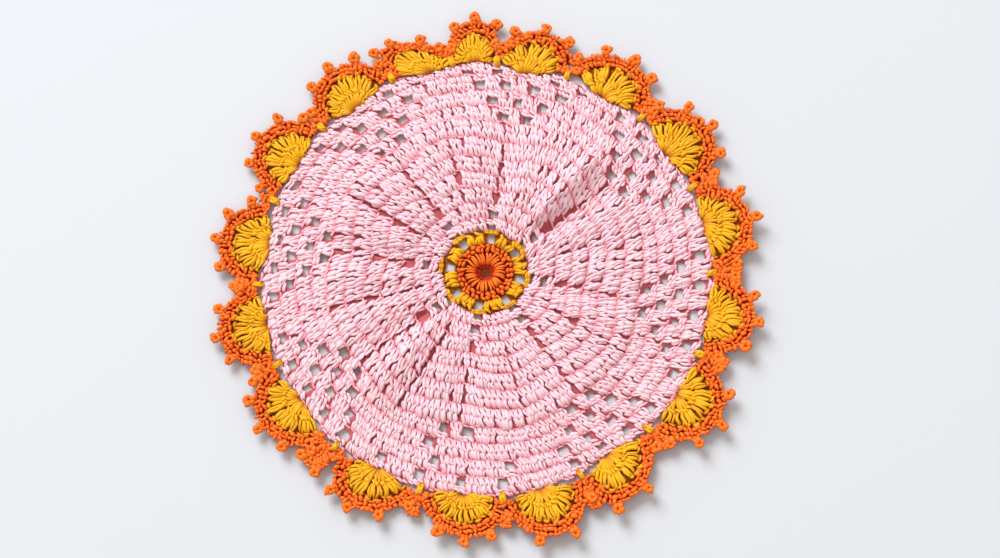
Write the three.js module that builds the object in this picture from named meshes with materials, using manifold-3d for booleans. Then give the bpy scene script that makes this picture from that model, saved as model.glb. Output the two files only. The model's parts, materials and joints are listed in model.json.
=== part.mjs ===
// A round crochet lace doily, worked from the middle outwards in five stretches of yarn.
// Millimetres, +Z up. It lies on z = 0 and its origin is under the middle of its box.
// Angles are in degrees, counter-clockwise from +X about the middle of the rosette.

import * as THREE from 'three';
import { mergeVertices } from 'three/addons/utils/BufferGeometryUtils.js';
import Module from 'manifold-3d';

const wasm = await Module();
wasm.setup();

const degree = Math.PI / 180;
const gap = 0.3; // between the solids of two yarns
const chainBar = 1.6; // the bar of chain stitches that closes a window
const cutBelow = -8; // every cut runs from here
const cutAbove = 24; // to here
const finest = 0.02; // an edge shorter than this is closed up

const rosette = { hole: 1.9, radius: 14, ribs: 20, rib: 3.7, furrow: 2.8, rim: 3.4, rimFurrow: 2.4 };
const yellowRound = { outer: 21.2, ridge: 3.0, furrow: 2.1, windowFrom: 15.9, windowTo: 19.6, windowHalf: 5 };
const pinkCloth = { inner: 21.5, ridge: 2.9, furrow: 2.2, flankSteps: 2, windowHalf: 2.1, windowPitch: 8.3 };
const folds = { start: 22, full: 46, fade: 70, end: 92 }; // radii between which the folds rise and die out
const rim = { start: 109, end: 136 }; // radii between which the edge curls up
const shell = {
  petals: 7,
  spread: 90, // degrees to each side
  ridge: 3.1,
  furrow: 2.1,
  notch: 0.92, // how far in the outline dips between two petals
  footHeight: 2.8,
  strip: 2.4, // width of the chain between two shells
  linkReach: 3.5, // degrees that this chain runs under each shell
};
const edging = { width: 5.6, side: 1.8, crown: 3.0, spare: 2.0 }; // spare keeps two arches apart in a valley
const picot = { width: 2.2, height: 1.7, spread: 36, lowSpread: 72, reach: 4.5, rooted: 1.6, bedding: 0.15 };

// One row for each pink round: the radius of its top edge, and how far that edge swings in and out along a
// repeat.
const pinkRounds = [
  { top: 27.4, swing: 0.3 },
  { top: 35.0, swing: 1.0 },
  { top: 42.5, swing: 1.6 },
  { top: 50.4, swing: 2.2 },
  { top: 58.8, swing: 2.4 },
  { top: 68.3, swing: 2.4 },
  { top: 77.6, swing: 1.8 },
  { top: 85.1, swing: 1.0 },
  { top: 93.1, swing: 0.6 },
  { top: 101.0, swing: 0.3 },
  { top: 109.5, swing: 0.0 },
];
const firstMeshRound = 7; // counted from 0; this round and those after it have windows
const lineHalves = [5.4, 4.2]; // half widths of the gap at the start of a repeat, in the first two rounds

// One row for each repeat. The cloth lies flat on its open line, rises to a crest, dips at the seam, rises
// to a second crest and falls to the next line.
const repeats = [
  { line: 35.0, seam: 57.2, crest: 6.0, saddle: 4.6, secondCrest: 3.4 },
  { line: 81.0, seam: 104.5, crest: 3.0, saddle: 1.6, secondCrest: 2.4 },
  { line: 127.5, seam: 149.0, crest: 4.0, saddle: 1.2, secondCrest: 3.6 },
  { line: 171.5, seam: 193.0, crest: 3.6, saddle: 1.6, secondCrest: 3.2 },
  { line: 215.5, seam: 237.0, crest: 6.0, saddle: 2.0, secondCrest: 2.6 },
  { line: 259.5, seam: 284.2, crest: 1.6, saddle: 1.0, secondCrest: 1.6 },
  { line: 306.0, seam: 329.0, crest: 2.2, saddle: 1.2, secondCrest: 2.0 },
  { line: 349.0, seam: 372.4, crest: 2.2, saddle: 1.2, secondCrest: 2.6 },
];

// The mesh of the same repeats: the windows in each of its first three rounds, centred at shift degrees
// from the line, and those of the last round, spread evenly from one angle to another.
const meshes = [
  { shift: -1.1, windows: [2, 3, 4], edgeWindows: 5, edgeFrom: 17, edgeTo: 49 },
  { shift: -2.0, windows: [2, 3, 4], edgeWindows: 5, edgeFrom: 61.5, edgeTo: 94.5 },
  { shift: -1.6, windows: [2, 3, 4], edgeWindows: 5, edgeFrom: 109.5, edgeTo: 142 },
  { shift: -0.6, windows: [2, 3, 4], edgeWindows: 5, edgeFrom: 154.5, edgeTo: 186.5 },
  { shift: -1.3, windows: [2, 3, 4], edgeWindows: 5, edgeFrom: 198, edgeTo: 229.5 },
  { shift: 0.0, windows: [2, 0, 0], edgeWindows: 4, edgeFrom: 241, edgeTo: 274.5 },
  { shift: -0.5, windows: [2, 3, 4], edgeWindows: 4, edgeFrom: 294.5, edgeTo: 320 },
  { shift: -0.1, windows: [2, 3, 4], edgeWindows: 5, edgeFrom: 331, edgeTo: 364.5 },
];

// The repeat that the maker worked unevenly has single windows instead of a mesh in two rounds.
const strayWindows = [
  { round: 8, at: 252, half: 2.7 },
  { round: 9, at: 255, half: 1.6 },
  { round: 9, at: 277, half: 1.6 },
];

// One row for each scallop: the ends of its shell, the angle and radius of the shell's foot, the angle and
// radius of its top, and the radius of the pink edge at the valley that follows.
const scallops = [
  { from: 3, to: 19.5, foot: 13, base: 109.5, crown: 11.5, apex: 127, valley: 110 },
  { from: 26, to: 42, foot: 33.5, base: 107, crown: 33.5, apex: 126, valley: 109.5 },
  { from: 49, to: 65, foot: 57, base: 106, crown: 56, apex: 123, valley: 107.5 },
  { from: 71, to: 86, foot: 79, base: 103, crown: 77, apex: 119.5, valley: 107.5 },
  { from: 88, to: 99, foot: 93, base: 107.5, crown: 92.5, apex: 122, valley: 107.5 },
  { from: 99, to: 112, foot: 105, base: 105.5, crown: 110, apex: 119.5, valley: 108.5 },
  { from: 119, to: 134, foot: 128, base: 105, crown: 127, apex: 122, valley: 108.5 },
  { from: 142, to: 156.5, foot: 149, base: 107, crown: 149, apex: 124.5, valley: 109 },
  { from: 165.5, to: 180, foot: 172, base: 106.5, crown: 173, apex: 125, valley: 110.5 },
  { from: 186.5, to: 201, foot: 194, base: 109, crown: 194, apex: 126.5, valley: 110 },
  { from: 208, to: 224, foot: 215.5, base: 109, crown: 215.5, apex: 125.5, valley: 111.5 },
  { from: 236, to: 250.5, foot: 241.5, base: 109, crown: 241.5, apex: 125, valley: 110.5 },
  { from: 257, to: 272, foot: 264.5, base: 109, crown: 265.5, apex: 124, valley: 110.5 },
  { from: 277, to: 292, foot: 284, base: 109.5, crown: 285, apex: 127, valley: 109 },
  { from: 297.5, to: 312, foot: 303, base: 107.5, crown: 303, apex: 125, valley: 110 },
  { from: 319, to: 335, foot: 327, base: 110.5, crown: 326.5, apex: 128.5, valley: 111 },
  { from: 342, to: 356.5, foot: 348.5, base: 110, crown: 349, apex: 127, valley: 110 },
];

// The edging of the same scallops: the radius of the middle picot's tip, how far the edge is lifted from
// the table, and the low picots on the first and the second shoulder.
const scallopEdges = [
  { tip: 140, lift: 4.0, low: [0, 1] },
  { tip: 136, lift: 2.6, low: [0, 1] },
  { tip: 133.5, lift: 1.8, low: [1, 1] },
  { tip: 130.5, lift: 1.6, low: [0, 1] },
  { tip: 135, lift: 1.8, low: [0, 1] },
  { tip: 132, lift: 1.6, low: [1, 0] },
  { tip: 134, lift: 1.6, low: [1, 1] },
  { tip: 133.5, lift: 1.4, low: [1, 1] },
  { tip: 134.5, lift: 1.4, low: [1, 1] },
  { tip: 136, lift: 1.8, low: [1, 1] },
  { tip: 134.5, lift: 2.0, low: [1, 1] },
  { tip: 135.5, lift: 2.6, low: [0, 1] },
  { tip: 135, lift: 3.6, low: [0, 1] },
  { tip: 137, lift: 4.2, low: [0, 1] },
  { tip: 136.5, lift: 3.8, low: [0, 1] },
  { tip: 139.5, lift: 3.4, low: [1, 1] },
  { tip: 138, lift: 4.4, low: [1, 1] },
];

const turn = (angle) => ((angle % 360) + 360) % 360;
const smooth = (t) => t * t * (3 - 2 * t);
const ramp = (value, start, end) => smooth(Math.min(1, Math.max(0, (value - start) / (end - start))));
const polar = (radius, angle) => new THREE.Vector2(
  radius * Math.cos(angle * degree),
  radius * Math.sin(angle * degree),
);
const after = (index) => (index + 1) % scallops.length;
const following = (angle, start) => (angle < start ? angle + 360 : angle);

// A smooth closed curve of angle through marks of { at, value }, sorted by angle and less than a turn long.
function ringCurve(marks, blend = smooth) {
  return (angle) => {
    const place = following(turn(angle), marks[0].at);
    const next = marks.findIndex((mark) => mark.at > place);
    const high = next < 0 ? { at: marks[0].at + 360, value: marks[0].value } : marks[next];
    const low = next < 0 ? marks[marks.length - 1] : marks[next - 1];
    return low.value + (high.value - low.value) * blend((place - low.at) / (high.at - low.at));
  };
}

const nextLine = (index) => (index + 1 < repeats.length ? repeats[index + 1].line : repeats[0].line + 360);

// The marks of the folds: flat lines, two crests for each repeat and the saddle at its seam.
const foldMarks = repeats.flatMap(({ line, seam, crest, saddle, secondCrest }, index) => [
  { at: line, value: 0 },
  { at: line + 0.55 * (seam - line), value: crest },
  { at: seam, value: saddle },
  { at: seam + 0.45 * (nextLine(index) - seam), value: secondCrest },
]);
const foldHeight = ringCurve(foldMarks);

// Round tops lie furthest in on the lines and furthest out on the seams.
const swingAt = ringCurve(
  repeats.flatMap(({ line, seam }) => [{ at: line, value: -1 }, { at: seam, value: 1 }]),
  (t) => t,
);

const valleys = scallops.map(({ to, valley }, index) => ({
  at: (to + following(scallops[after(index)].from, to)) / 2,
  radius: valley,
}));
const edgeMarks = scallops.flatMap(({ foot, base }, index) => [
  { at: foot, value: base },
  { at: valleys[index].at, value: valleys[index].radius },
]);
const pinkEdge = ringCurve(edgeMarks, (t) => t);
const edgeLimit = Math.max(...edgeMarks.map(({ value }) => value)) + 1; // the whole pink cloth is inside this
const rimLift = ringCurve(scallops.map(({ foot }, index) => ({ at: foot, value: scallopEdges[index].lift })));

// Height of the cloth's underside above the table.
function underside(x, y) {
  const radius = Math.hypot(x, y);
  const angle = Math.atan2(y, x) / degree;
  const fold = ramp(radius, folds.start, folds.full) * (1 - ramp(radius, folds.fade, folds.end));
  return fold * foldHeight(angle) + ramp(radius, rim.start, rim.end) * rimLift(angle);
}

function closedSolid(positions, faces) {
  const vertProperties = new Float32Array(positions);
  const triVerts = new Uint32Array(faces);
  return new wasm.Manifold(new wasm.Mesh({ numProp: 3, vertProperties, triVerts }));
}

function solidFrom(geometry) {
  geometry.deleteAttribute('normal');
  geometry.deleteAttribute('uv');
  const merged = mergeVertices(geometry, 1e-4);
  return closedSolid(merged.attributes.position.array, merged.index.array);
}

// A closed ring on a flat base: columns of angle, rows of radius and a top height at each crossing. Its
// loops of points go from the inside of the base over the top to the outside of the base.
function ringSolid(angles, rows, radiusAt, topAt, base = 0) {
  const positions = [];
  const faces = [];
  const addLoop = (row, heightAt) => angles.forEach((angle, column) => {
    const { x, y } = polar(radiusAt(row, angle), angle);
    positions.push(x, y, heightAt(x, y, row, column));
  });
  addLoop(0, () => base);
  for (let row = 0; row < rows; row += 1) addLoop(row, topAt);
  addLoop(rows - 1, () => base);
  const loops = rows + 2;
  const columns = angles.length;
  for (let loop = 0; loop < loops; loop += 1) {
    for (let column = 0; column < columns; column += 1) {
      const next = (column + 1) % columns;
      const [inner, outer] = [loop * columns, ((loop + 1) % loops) * columns];
      faces.push(inner + column, outer + column, outer + next, inner + column, outer + next, inner + next);
    }
  }
  return closedSolid(positions, faces);
}

// An upright block on an outline, for cutting.
function block(points) {
  const geometry = new THREE.ExtrudeGeometry(new THREE.Shape(points), {
    depth: cutAbove - cutBelow,
    bevelEnabled: false,
  });
  geometry.translate(0, 0, cutBelow);
  return solidFrom(geometry);
}

const windowBlock = (inner, outer, at, half) => block([
  polar(inner, at - half),
  polar(outer, at - half),
  polar(outer, at + half),
  polar(inner, at + half),
]);

const evenAngles = (count) => Array.from({ length: count }, (_, index) => (index * 360) / count);

// Angles at the fold marks, with the same number of steps from each to the next.
const foldAngles = (steps) => foldMarks.flatMap(({ at }, index) => {
  const next = foldMarks[index + 1] ?? { at: foldMarks[0].at + 360 };
  return Array.from({ length: steps }, (_, step) => at + ((next.at - at) * step) / steps);
});


function makeRosette() {
  const { hole, radius, ribs, rib, furrow, rim: rimHeight, rimFurrow } = rosette;
  const rows = [
    { radius: hole, high: furrow, low: furrow },
    { radius: 0.68 * radius, high: rib, low: furrow },
    { radius: 0.79 * radius, high: rimFurrow, low: rimFurrow },
    { radius: 0.9 * radius, high: rimHeight, low: rimFurrow },
    { radius, high: rimFurrow, low: rimFurrow - 0.6 },
  ];
  return ringSolid(
    evenAngles(2 * ribs),
    rows.length,
    (row) => rows[row].radius,
    (x, y, row, column) => (column % 2 ? rows[row].low : rows[row].high),
  );
}

function makeYellowRound() {
  const { outer, ridge, furrow, windowFrom, windowTo, windowHalf } = yellowRound;
  const inner = rosette.radius + gap;
  const rows = [inner, (inner + outer) / 2, outer];
  const ring = ringSolid(
    evenAngles(5 * repeats.length),
    rows.length,
    (row) => rows[row],
    (x, y, row, column) => (column % 2 || row === 1 ? furrow : ridge),
  );
  const windows = repeats.map(({ line }) => windowBlock(windowFrom, windowTo, line, windowHalf));
  return ring.subtract(wasm.Manifold.union(windows));
}

// The windows of the last four pink rounds.
function meshWindows() {
  const { windowHalf: half, windowPitch } = pinkCloth;
  const spread = (round, count, start, step) => Array.from(
    { length: count },
    (_, place) => ({ round, at: start + place * step, half }),
  );
  const meshed = meshes.flatMap(({ shift, windows, edgeWindows, edgeFrom, edgeTo }, index) => [
    ...windows.flatMap((count, step) => {
      const start = repeats[index].line + shift - ((count - 1) / 2) * windowPitch;
      return spread(firstMeshRound + step, count, start, windowPitch);
    }),
    ...spread(pinkRounds.length - 1, edgeWindows, edgeFrom, (edgeTo - edgeFrom) / (edgeWindows - 1)),
  ]);
  return [...strayWindows, ...meshed];
}

function makePinkBody() {
  const { inner, ridge, furrow, flankSteps } = pinkCloth;
  const tops = [{ top: inner, swing: 0 }, ...pinkRounds];
  const topRadius = (index, angle) => tops[index].top + tops[index].swing * swingAt(angle);
  const ridgeRows = 2 * firstMeshRound + 1; // each round before the mesh has a ridge and a furrow
  const plainRadii = [folds.end, edgeLimit];
  const rowRadius = (row, angle) => {
    if (row >= ridgeRows) return plainRadii[row - ridgeRows];
    const round = Math.floor(row / 2);
    return row % 2 ? (topRadius(round, angle) + topRadius(round + 1, angle)) / 2 : topRadius(round, angle);
  };
  const sheet = ringSolid(
    foldAngles(flankSteps),
    ridgeRows + plainRadii.length,
    rowRadius,
    (x, y, row) => underside(x, y) + (row < ridgeRows && row % 2 ? furrow : ridge),
    -1,
  );
  const hollowRadii = [inner - 1, 32, folds.full, folds.fade, 78, folds.end, edgeLimit + 1];
  const hollow = ringSolid(foldAngles(2), hollowRadii.length, (row) => hollowRadii[row], underside, cutBelow);
  const lines = repeats.flatMap(({ line }) => lineHalves.map((half, index) => (
    windowBlock(tops[index].top + 0.7, pinkRounds[index].top - chainBar, line, half)
  )));
  const windows = meshWindows().map(({ round, at, half }) => {
    const high = round + 1 < pinkRounds.length ? pinkRounds[round].top : pinkEdge(at);
    return windowBlock(tops[round].top + 0.7, high - chainBar, at, half);
  });
  return sheet
    .subtract(hollow)
    .intersect(block(edgeMarks.map(({ at, value }) => polar(value, at))))
    .subtract(wasm.Manifold.union([...lines, ...windows]));
}

const valleyBefore = (index) => valleys[(index + valleys.length - 1) % valleys.length];

// The arch that a shell fills: a half ellipse that stands clear of the pink edge on both sides of its foot.
function archOf({ from, to, apex, crown }, index) {
  const middle = (from + to) / 2;
  const base = Math.max(valleys[index].radius, valleyBefore(index).radius) + gap;
  const centre = polar(base, middle);
  const rise = polar(apex, crown).sub(centre);
  return {
    centre,
    upward: rise.clone().normalize(),
    along: polar(1, middle + 90),
    halfWidth: (to - from) / 2 * degree * base,
    height: rise.length(),
  };
}

function archPoint({ centre, upward, along, halfWidth, height }, angle, offset = 0) {
  return centre.clone()
    .addScaledVector(along, (halfWidth + offset) * Math.sin(angle * degree))
    .addScaledVector(upward, (height + offset) * Math.cos(angle * degree));
}

// The directions of the petals of a shell.
const petalAngles = Array.from(
  { length: shell.petals },
  (_, index) => shell.spread * ((2 * index + 1) / shell.petals - 1),
);

// One shell: petals that spread from its foot to the arch, each with a ridge.
function makeShell(scallop, index) {
  const { petals, spread, ridge, furrow, notch, footHeight } = shell;
  const arch = archOf(scallop, index);
  const foot = polar(scallop.base + gap, scallop.foot);
  const spokes = 2 * petals + 1;
  const positions = [];
  const faces = [];
  const add = ({ x, y }, height) => positions.push(x, y, underside(x, y) + height);
  add(foot, footHeight);
  add(foot, 0);
  for (let spoke = 0; spoke < spokes; spoke += 1) {
    const onRidge = spoke % 2 === 1;
    const tip = archPoint(arch, spread * (spoke / petals - 1));
    const reach = onRidge ? 1 : notch;
    const height = onRidge ? ridge : furrow;
    add(foot.clone().lerp(tip, 0.5), height);
    add(foot.clone().lerp(tip, reach), height - 0.4);
    add(foot.clone().lerp(tip, reach), 0);
  }
  for (let spoke = 0; spoke + 1 < spokes; spoke += 1) {
    const [middle, top, bottom] = [2, 3, 4].map((part) => part + 3 * spoke);
    const [nextMiddle, nextTop, nextBottom] = [middle + 3, top + 3, bottom + 3];
    faces.push(0, middle, nextMiddle, middle, nextTop, nextMiddle, middle, top, nextTop);
    faces.push(top, nextBottom, nextTop, top, bottom, nextBottom, 1, nextBottom, bottom);
  }
  const [end, endTop, endBottom] = [2, 3, 4].map((part) => part + 3 * (spokes - 1));
  faces.push(0, 3, 2, 0, 4, 3, 0, 1, 4);
  faces.push(0, end, endTop, 0, endTop, endBottom, 0, endBottom, 1);
  return closedSolid(positions, faces);
}

// A band swept along a path on the table, open or closed. The section's rows are { offset, height }, from
// the inside of the base round by its outside.
function sweepBand(path, section, closed) {
  const positions = [];
  const faces = [];
  const last = path.length - 1;
  path.forEach((point, index) => {
    const before = path[index > 0 ? index - 1 : closed ? last : 0];
    const next = path[index < last ? index + 1 : closed ? 0 : last];
    const across = next.clone().sub(before).normalize().rotateAround(new THREE.Vector2(), -Math.PI / 2);
    section.forEach(({ offset, height }) => {
      const place = point.clone().addScaledVector(across, offset);
      positions.push(place.x, place.y, underside(place.x, place.y) + height);
    });
  });
  const sides = section.length;
  for (let step = 0; step < last + (closed ? 1 : 0); step += 1) {
    const [start, next] = [step * sides, ((step + 1) % path.length) * sides];
    for (let side = 0; side < sides; side += 1) {
      const beside = (side + 1) % sides;
      faces.push(start + side, next + beside, start + beside, start + side, next + side, next + beside);
    }
  }
  for (let side = 1; side + 1 < sides && !closed; side += 1) {
    const end = last * sides;
    faces.push(0, side, side + 1, end, end + side + 1, end + side);
  }
  return closedSolid(positions, faces);
}

// The chain that carries the yellow yarn along the pink edge from one shell to the next.
function makeLink(scallop, index) {
  const { strip, furrow } = shell;
  const next = scallops[after(index)];
  const start = scallop.to - shell.linkReach;
  const end = following(next.from, scallop.from) + shell.linkReach;
  const angles = [start, valleys[index].at, end];
  const path = angles.map((angle) => polar(pinkEdge(angle) + gap + strip / 2, angle));
  return sweepBand(path, [
    { offset: -strip / 2, height: 0 },
    { offset: strip / 2, height: 0 },
    { offset: strip / 2, height: furrow },
    { offset: -strip / 2, height: furrow },
  ], false);
}

function makeShellRound() {
  return wasm.Manifold.union([...scallops.map(makeLink), ...scallops.map(makeShell)]);
}

// The room that a shell takes up, with the gap round it.
function shellRoom(scallop, index) {
  const arch = archOf(scallop, index);
  return block([
    polar(scallop.base, scallop.foot),
    ...[-shell.spread, ...petalAngles, shell.spread].map((angle) => archPoint(arch, angle, gap)),
  ]);
}

// A picot is a long knob that stands on the band, with its inner end rooted in it.
function makePicot(bandMiddle, direction, reach) {
  const inner = edging.width / 2 - picot.rooted;
  const halfLength = (reach - inner) / 2;
  const geometry = new THREE.IcosahedronGeometry(1, 0);
  geometry.scale(halfLength, picot.width, picot.height);
  geometry.rotateZ(direction.angle());
  const centre = bandMiddle.clone().addScaledVector(direction, inner + halfLength);
  geometry.translate(centre.x, centre.y, underside(centre.x, centre.y) + picot.height + picot.bedding);
  return solidFrom(geometry);
}

const edgingOffset = 1.5 * gap + edging.width / 2; // from a shell's arch to the middle of the band

// The band's arch ends beside its outermost petal, or where it comes near the line of the valley there.
function archEnd(arch, side, valley) {
  const line = polar(1, valley.at);
  const beyond = (angle) => side * line.cross(archPoint(arch, side * angle, edgingOffset)) > -edging.spare;
  let angle = petalAngles.at(-1);
  while (beyond(angle)) angle -= 1;
  return angle;
}

// The band's path over one shell, from its first petal to the valley after it.
function edgingPath(scallop, index) {
  const arch = archOf(scallop, index);
  const next = archOf(scallops[after(index)], after(index));
  const valley = valleys[index];
  const [start, end] = [archEnd(arch, -1, valleyBefore(index)), archEnd(arch, 1, valley)];
  const lowest = valley.radius + shell.strip + 2 * gap + edging.width / 2;
  const crossings = [
    archPoint(arch, end, edgingOffset),
    archPoint(next, -archEnd(next, -1, valley), edgingOffset),
  ].map((point) => point.dot(polar(1, valley.at)));
  return [
    ...petalAngles.filter((angle) => angle >= -start && angle <= end)
      .map((angle) => archPoint(arch, angle, edgingOffset)),
    polar(Math.max(lowest, ...crossings), valley.at),
  ];
}

function makePicots(scallop, index) {
  const arch = archOf(scallop, index);
  const { tip, low } = scallopEdges[index];
  const lowSpread = [archEnd(arch, -1, valleyBefore(index)), archEnd(arch, 1, valleys[index])]
    .map((end) => Math.min(picot.lowSpread, end));
  const places = [
    { angle: -lowSpread[0], shown: low[0] },
    { angle: -picot.spread, shown: 1 },
    { angle: 0, shown: 1 },
    { angle: picot.spread, shown: 1 },
    { angle: lowSpread[1], shown: low[1] },
  ];
  return places.filter(({ shown }) => shown).map(({ angle }) => {
    const bandMiddle = archPoint(arch, angle, edgingOffset);
    const direction = archPoint(arch, angle, edgingOffset + 1).sub(bandMiddle).normalize();
    const reach = angle === 0 ? tip - scallop.apex - edgingOffset : edging.width / 2 + picot.reach;
    return makePicot(bandMiddle, direction, reach);
  });
}

function makePicotEdging() {
  const { width, side, crown } = edging;
  const band = sweepBand(scallops.flatMap(edgingPath), [
    { offset: -width / 2, height: 0 },
    { offset: width / 2, height: 0 },
    { offset: width / 2, height: side },
    { offset: 0, height: crown },
    { offset: -width / 2, height: side },
  ], true);
  return wasm.Manifold.union([band, ...scallops.flatMap(makePicots)])
    .subtract(wasm.Manifold.union(scallops.map(shellRoom)));
}

function meshOf(name, solid, color, roughness) {
  const { vertProperties, triVerts } = solid.simplify(finest).getMesh();
  const geometry = new THREE.BufferGeometry();
  geometry.setAttribute('position', new THREE.BufferAttribute(vertProperties, 3));
  geometry.setIndex(new THREE.BufferAttribute(triVerts, 1));
  geometry.computeVertexNormals();
  const mesh = new THREE.Mesh(geometry, new THREE.MeshStandardMaterial({ color, roughness, metalness: 0 }));
  mesh.name = name;
  return mesh;
}

const doily = new THREE.Group();
doily.add(
  meshOf('rosette', makeRosette(), '#e2631b', 0.7),
  meshOf('yellow_round', makeYellowRound(), '#e8b71c', 0.7),
  meshOf('pink_body', makePinkBody(), '#f3c3cf', 0.8),
  meshOf('shell_round', makeShellRound(), '#e8b71c', 0.7),
  meshOf('picot_edging', makePicotEdging(), '#e2631b', 0.7),
);
const middle = new THREE.Box3().setFromObject(doily, true).getCenter(new THREE.Vector3());
doily.position.set(-middle.x, -middle.y, 0);

export default doily;
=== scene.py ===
import json
import math
import random

import bpy
import numpy as np
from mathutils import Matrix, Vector

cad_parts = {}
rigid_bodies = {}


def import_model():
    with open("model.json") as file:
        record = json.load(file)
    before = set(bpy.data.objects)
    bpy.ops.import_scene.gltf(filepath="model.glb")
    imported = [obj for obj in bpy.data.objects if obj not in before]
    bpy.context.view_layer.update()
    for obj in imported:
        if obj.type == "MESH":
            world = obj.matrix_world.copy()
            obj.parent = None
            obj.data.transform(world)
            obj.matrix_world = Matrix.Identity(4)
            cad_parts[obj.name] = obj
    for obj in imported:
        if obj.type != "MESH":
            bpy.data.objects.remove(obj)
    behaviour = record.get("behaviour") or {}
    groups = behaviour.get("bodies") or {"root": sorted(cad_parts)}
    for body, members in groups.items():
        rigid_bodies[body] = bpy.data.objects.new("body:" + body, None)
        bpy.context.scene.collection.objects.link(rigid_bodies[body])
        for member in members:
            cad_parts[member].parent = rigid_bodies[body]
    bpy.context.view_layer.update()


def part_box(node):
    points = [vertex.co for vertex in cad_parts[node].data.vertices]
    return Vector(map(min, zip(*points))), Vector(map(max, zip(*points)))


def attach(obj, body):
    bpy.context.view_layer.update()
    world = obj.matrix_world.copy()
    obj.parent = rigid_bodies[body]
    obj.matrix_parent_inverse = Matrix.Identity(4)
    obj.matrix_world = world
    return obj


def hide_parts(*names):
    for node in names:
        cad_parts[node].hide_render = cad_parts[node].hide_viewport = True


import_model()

mm = 0.001
chance = random.Random(5)

# The chart: radii in millimetres and angles in degrees anticlockwise from +X about the rosette's middle.
hubLow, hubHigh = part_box("rosette")
hub = Vector(((hubLow.x + hubHigh.x) / 2, (hubLow.y + hubHigh.y) / 2))

chart = {
    "gauge": 2.7,  # width of one stitch
    "pinkInner": 21.5,
    "pinkTops": [27.4, 35.0, 42.5, 50.4, 58.8, 68.3, 77.6, 85.1, 93.1, 101.0, 109.5],
    "pinkSwings": [0.3, 1.0, 1.6, 2.2, 2.4, 2.4, 1.8, 1.0, 0.6, 0.3, 0.0],
    "pinkMargin": 0.4,  # from the last pink stitches to the edge of the pink
    "foldStart": 22, "foldFull": 46, "foldFade": 70, "foldEnd": 92,
    "crestAt": 0.55, "secondCrestAt": 0.45,  # shares of the way from a line to its seam, and on to the next line
    "creaseStart": 28, "creaseFull": 42, "creaseFade": 74, "creaseEnd": 88,
    "rimStart": 109, "rimEnd": 136,
    "sideWaver": 0.6, "riseWaver": 0.25,
}

# Each repeat: the angles of its start line and its seam, and the heights of its crest, saddle and second crest.
repeats = [
    (35.0, 57.2, 6.0, 4.6, 3.4),
    (81.0, 104.5, 3.0, 1.6, 2.4),
    (127.5, 149.0, 4.0, 1.2, 3.6),
    (171.5, 193.0, 3.6, 1.6, 3.2),
    (215.5, 237.0, 6.0, 2.0, 2.6),
    (259.5, 284.2, 1.6, 1.0, 1.6),
    (306.0, 329.0, 2.2, 1.2, 2.0),
    (349.0, 372.4, 2.2, 1.2, 2.6),
]

# Each scallop: the angles that it runs between, the angle and radius of its foot and of its crown, the radius of
# the valley after it, and how high it lifts off the surface.
scallops = [
    (3, 19.5, 13, 109.5, 11.5, 127, 110, 4.0),
    (26, 42, 33.5, 107, 33.5, 126, 109.5, 2.6),
    (49, 65, 57, 106, 56, 123, 107.5, 1.8),
    (71, 86, 79, 103, 77, 119.5, 107.5, 1.6),
    (88, 99, 93, 107.5, 92.5, 122, 107.5, 1.8),
    (99, 112, 105, 105.5, 110, 119.5, 108.5, 1.6),
    (119, 134, 128, 105, 127, 122, 108.5, 1.6),
    (142, 156.5, 149, 107, 149, 124.5, 109, 1.4),
    (165.5, 180, 172, 106.5, 173, 125, 110.5, 1.4),
    (186.5, 201, 194, 109, 194, 126.5, 110, 1.8),
    (208, 224, 215.5, 109, 215.5, 125.5, 111.5, 2.0),
    (236, 250.5, 241.5, 109, 241.5, 125, 110.5, 2.6),
    (257, 272, 264.5, 109, 265.5, 124, 110.5, 3.6),
    (277, 292, 284, 109.5, 285, 127, 109, 4.2),
    (297.5, 312, 303, 107.5, 303, 125, 110, 3.8),
    (319, 335, 327, 110.5, 326.5, 128.5, 111, 3.4),
    (342, 356.5, 348.5, 110, 349, 127, 110, 4.4),
]


# A value for every angle round the ring, between marks of angle and value.
def ringCurve(marks, eased=True):
    marks = sorted((at % 360, value) for at, value in marks)
    at = np.array([marks[-1][0] - 360] + [m[0] for m in marks] + [marks[0][0] + 360])
    values = np.array([marks[-1][1]] + [m[1] for m in marks] + [marks[0][1]])

    def curve(angle):
        angle = np.mod(angle, 360)
        index = np.clip(np.searchsorted(at, angle, side="right") - 1, 0, len(at) - 2)
        t = (angle - at[index]) / (at[index + 1] - at[index])
        if eased:
            t = t * t * (3 - 2 * t)
        return values[index] + (values[index + 1] - values[index]) * t

    return curve


def ramp(value, low, high):
    t = np.clip((value - low) / (high - low), 0, 1)
    return t * t * (3 - 2 * t)


foldMarks = []
for index, (line, seam, crest, saddle, secondCrest) in enumerate(repeats):
    nextLine = repeats[(index + 1) % len(repeats)][0]
    if nextLine < seam:
        nextLine += 360
    foldMarks += [
        (line, 0),
        (line + chart["crestAt"] * (seam - line), crest),
        (seam, saddle),
        (seam + chart["secondCrestAt"] * (nextLine - seam), secondCrest),
    ]
foldHeight = ringCurve(foldMarks)
swingAt = ringCurve([(r[0], -1) for r in repeats] + [(r[1], 1) for r in repeats], eased=False)
rimLift = ringCurve([(s[2], s[7]) for s in scallops])

valleys = []  # angle and radius of the low place after each scallop
for index, scallop in enumerate(scallops):
    start = scallops[(index + 1) % len(scallops)][0]
    if start < scallop[1]:
        start += 360
    valleys.append(((scallop[1] + start) / 2, scallop[6]))
edgeBulges = [(3.5, 113), (356.3, 112.6)]  # angle and radius of places where the pink swells out
pinkEdge = ringCurve([(s[2], s[3]) for s in scallops] + valleys + edgeBulges, eased=False)


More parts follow.
